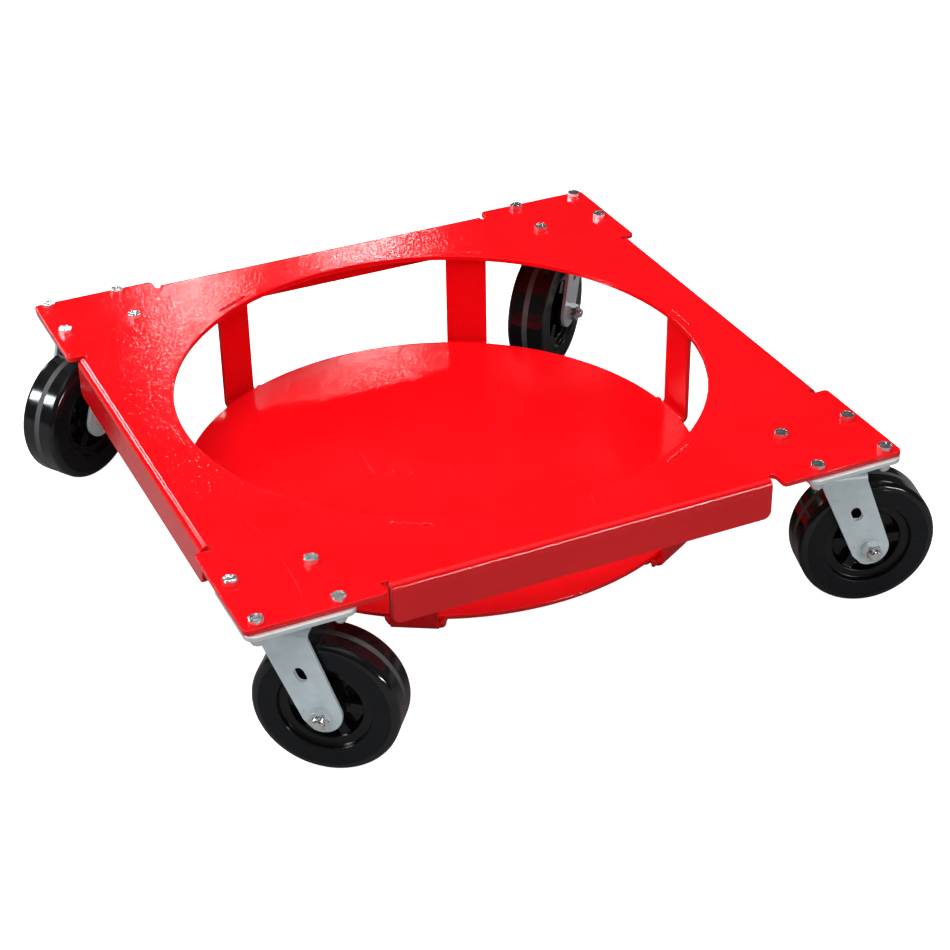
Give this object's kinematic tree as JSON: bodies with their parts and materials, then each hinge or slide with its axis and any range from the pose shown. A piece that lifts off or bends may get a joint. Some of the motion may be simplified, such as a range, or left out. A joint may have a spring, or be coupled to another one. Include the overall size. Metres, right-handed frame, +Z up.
{
  "type": "drum dolly",
  "caption": "Low square steel dolly on swivel casters: a flanged deck with a round well, and a drum pan hung below it on straps.",
  "frame": {"origin": "middle of the drum pan's top face, where the drum stands", "axes": "+Z up; +X along the deck's side to the right, seen from the front; the front is -Y"},
  "size_m": [0.8509, 0.7869, 0.2],
  "materials": {
    "deck_paint": "glossy red powder coat with fine orange peel",
    "pan_paint": "glossy red powder coat with fine orange peel",
    "strap_paint": "glossy red powder coat with fine orange peel",
    "plate_zinc": "bright zinc plate, satin",
    "fork_zinc": "bright zinc plate with a faint blue cast",
    "bolt_zinc": "bright zinc plate",
    "race_steel": "bright steel, lightly greased",
    "bearing_steel": "ground steel",
    "phenolic": "moulded black phenolic, glossy tread and satin sides, grey parting band"
  },
  "bodies": {
    "chassis": {"deck": "deck_paint", "drum_pan": "pan_paint", "strap_1": "strap_paint", "strap_2": "strap_paint", "strap_3": "strap_paint", "strap_4": "strap_paint", "strap_5": "strap_paint", "strap_6": "strap_paint", "caster_plate_front_left": "plate_zinc", "ball_race_front_left": "race_steel", "kingpin_front_left": "race_steel", "mounting_bolt_front_left_1": "bolt_zinc", "mounting_bolt_front_left_2": "bolt_zinc", "mounting_bolt_front_left_3": "bolt_zinc", "mounting_bolt_front_left_4": "bolt_zinc", "caster_plate_front_right": "plate_zinc", "ball_race_front_right": "race_steel", "kingpin_front_right": "race_steel", "mounting_bolt_front_right_1": "bolt_zinc", "mounting_bolt_front_right_2": "bolt_zinc", "mounting_bolt_front_right_3": "bolt_zinc", "mounting_bolt_front_right_4": "bolt_zinc", "caster_plate_rear_right": "plate_zinc", "ball_race_rear_right": "race_steel", "kingpin_rear_right": "race_steel", "mounting_bolt_rear_right_1": "bolt_zinc", "mounting_bolt_rear_right_2": "bolt_zinc", "mounting_bolt_rear_right_3": "bolt_zinc", "mounting_bolt_rear_right_4": "bolt_zinc", "caster_plate_rear_left": "plate_zinc", "ball_race_rear_left": "race_steel", "kingpin_rear_left": "race_steel", "mounting_bolt_rear_left_1": "bolt_zinc", "mounting_bolt_rear_left_2": "bolt_zinc", "mounting_bolt_rear_left_3": "bolt_zinc", "mounting_bolt_rear_left_4": "bolt_zinc"},
    "swivel_front_left": {"fork_front_left": "fork_zinc", "axle_sleeve_front_left": "bearing_steel", "axle_bolt_front_left": "bolt_zinc", "axle_nut_front_left": "bolt_zinc"},
    "roller_front_left": {"wheel_front_left": "phenolic", "roller_bearing_front_left": "bearing_steel"},
    "swivel_front_right": {"fork_front_right": "fork_zinc", "axle_sleeve_front_right": "bearing_steel", "axle_bolt_front_right": "bolt_zinc", "axle_nut_front_right": "bolt_zinc"},
    "roller_front_right": {"wheel_front_right": "phenolic", "roller_bearing_front_right": "bearing_steel"},
    "swivel_rear_right": {"fork_rear_right": "fork_zinc", "axle_sleeve_rear_right": "bearing_steel", "axle_bolt_rear_right": "bolt_zinc", "axle_nut_rear_right": "bolt_zinc"},
    "roller_rear_right": {"wheel_rear_right": "phenolic", "roller_bearing_rear_right": "bearing_steel"},
    "swivel_rear_left": {"fork_rear_left": "fork_zinc", "axle_sleeve_rear_left": "bearing_steel", "axle_bolt_rear_left": "bolt_zinc", "axle_nut_rear_left": "bolt_zinc"},
    "roller_rear_left": {"wheel_rear_left": "phenolic", "roller_bearing_rear_left": "bearing_steel"}
  },
  "joints": [
    {"name": "front_left_swivel", "type": "hinge", "parent": "chassis", "child": "swivel_front_left", "pos_m": [-0.312, -0.3235, 0.1147], "axis": [0, 0, 1], "continuous": true},
    {"name": "front_left_wheel", "type": "hinge", "parent": "swivel_front_left", "child": "roller_front_left", "pos_m": [-0.27969, -0.34874, 0.0029], "axis": [0.6157, 0.788, 0], "continuous": true},
    {"name": "front_right_swivel", "type": "hinge", "parent": "chassis", "child": "swivel_front_right", "pos_m": [0.312, -0.3235, 0.1147], "axis": [0, 0, 1], "continuous": true},
    {"name": "front_right_wheel", "type": "hinge", "parent": "swivel_front_right", "child": "roller_front_right", "pos_m": [0.35141, -0.3348, 0.0029], "axis": [0.2756, 0.9613, 0], "continuous": true},
    {"name": "rear_right_swivel", "type": "hinge", "parent": "chassis", "child": "swivel_rear_right", "pos_m": [0.312, 0.3235, 0.1147], "axis": [0, 0, 1], "continuous": true},
    {"name": "rear_right_wheel", "type": "hinge", "parent": "swivel_rear_right", "child": "roller_rear_right", "pos_m": [0.28153, 0.29607, 0.0029], "axis": [0.6691, -0.7431, 0], "continuous": true},
    {"name": "rear_left_swivel", "type": "hinge", "parent": "chassis", "child": "swivel_rear_left", "pos_m": [-0.312, 0.3235, 0.1147], "axis": [0, 0, 1], "continuous": true},
    {"name": "rear_left_wheel", "type": "hinge", "parent": "swivel_rear_left", "child": "roller_rear_left", "pos_m": [-0.34638, 0.30117, 0.0029], "axis": [0.5446, -0.8387, 0], "continuous": true}
  ]
}
